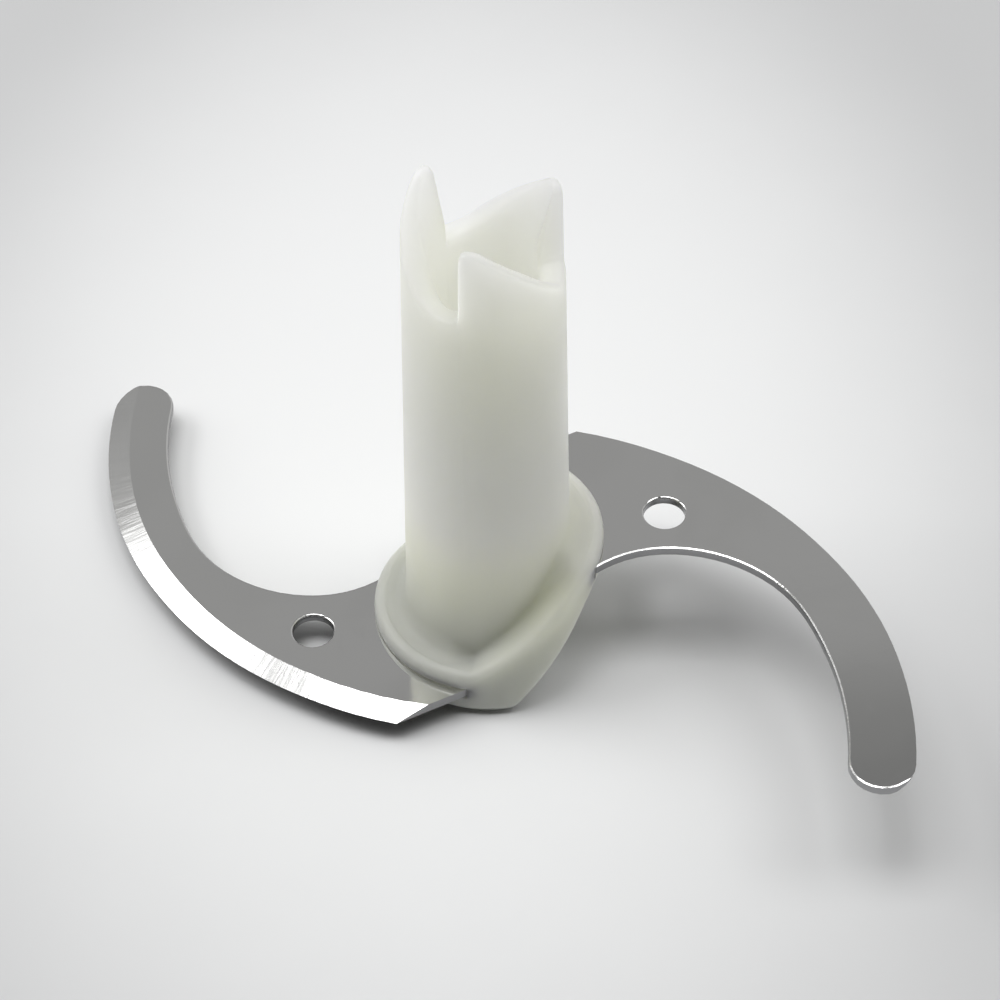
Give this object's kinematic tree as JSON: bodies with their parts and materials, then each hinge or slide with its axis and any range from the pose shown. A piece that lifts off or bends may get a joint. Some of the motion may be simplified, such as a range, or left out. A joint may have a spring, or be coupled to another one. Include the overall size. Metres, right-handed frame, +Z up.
{
  "type": "food processor blade",
  "caption": "Tall plastic hub with a clawed drive crown and a sloping collar that carries sickle-shaped steel blades at different heights.",
  "frame": {"origin": "on the bore's axis, on the surface that the hub's foot stands on", "axes": "+Z up the hub towards the drive crown, +X towards the side of the upper blade, which is the right-hand side in the picture, +Y away from the picture's viewer"},
  "size_m": [0.1164, 0.0934, 0.0846],
  "materials": {
    "hub_plastic": "soft satin gloss, slightly translucent, off-white",
    "blade_steel": "satin faces, bright ground bevel on the cutting edge"
  },
  "bodies": {
    "root": {"hub": "hub_plastic", "lower_blade": "blade_steel", "upper_blade": "blade_steel"}
  },
  "joints": []
}
